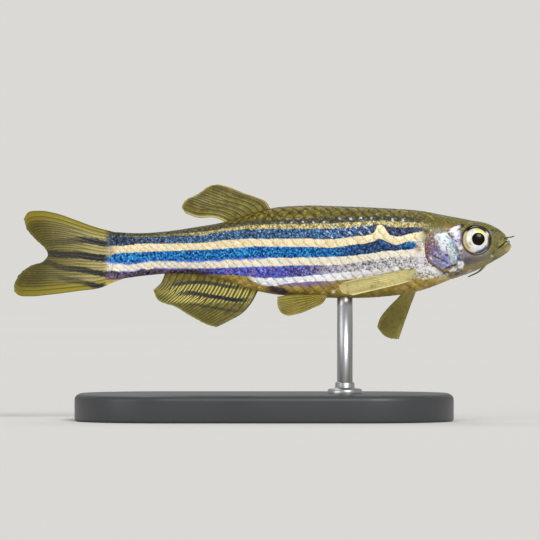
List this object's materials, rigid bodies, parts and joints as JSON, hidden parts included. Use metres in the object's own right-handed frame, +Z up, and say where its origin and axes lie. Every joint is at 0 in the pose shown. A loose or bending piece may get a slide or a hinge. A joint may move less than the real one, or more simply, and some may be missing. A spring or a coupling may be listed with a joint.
{
  "type": "zebra danio display model",
  "caption": "Slim striped freshwater fish as a still life-size display model, with ribbed fins, feelers and round eyes, held level over a plain flat base by a short rod.",
  "frame": {"origin": "on the floor under the middle of the whole model, at the underside of the stand's base", "axes": "+X from the tail to the snout, +Y towards the fish's left side, +Z up"},
  "size_m": [0.045, 0.02, 0.0213],
  "materials": {
    "skin": "wet, scaled, striped dark blue and cream with silver sheen",
    "fin": "thin, partly clear, olive-yellow with dark bands",
    "eye": "clear, wet, silver iris with a black pupil",
    "barbel": "smooth, wet",
    "stand_plate": "satin",
    "stand_metal": "brushed along the rod"
  },
  "bodies": {
    "root": {"head": "skin", "trunk": "skin", "tail_stem": "skin", "tail_fin": "fin", "dorsal_fin": "fin", "anal_fin": "fin", "pelvic_fin_right": "fin", "pelvic_fin_left": "fin", "pectoral_fin_right": "fin", "pectoral_fin_left": "fin", "eye_right": "eye", "eye_left": "eye", "barbel_rostral_right": "barbel", "barbel_rostral_left": "barbel", "barbel_maxillary_right": "barbel", "barbel_maxillary_left": "barbel", "stand_base": "stand_plate", "stand_rod": "stand_metal"}
  },
  "joints": []
}
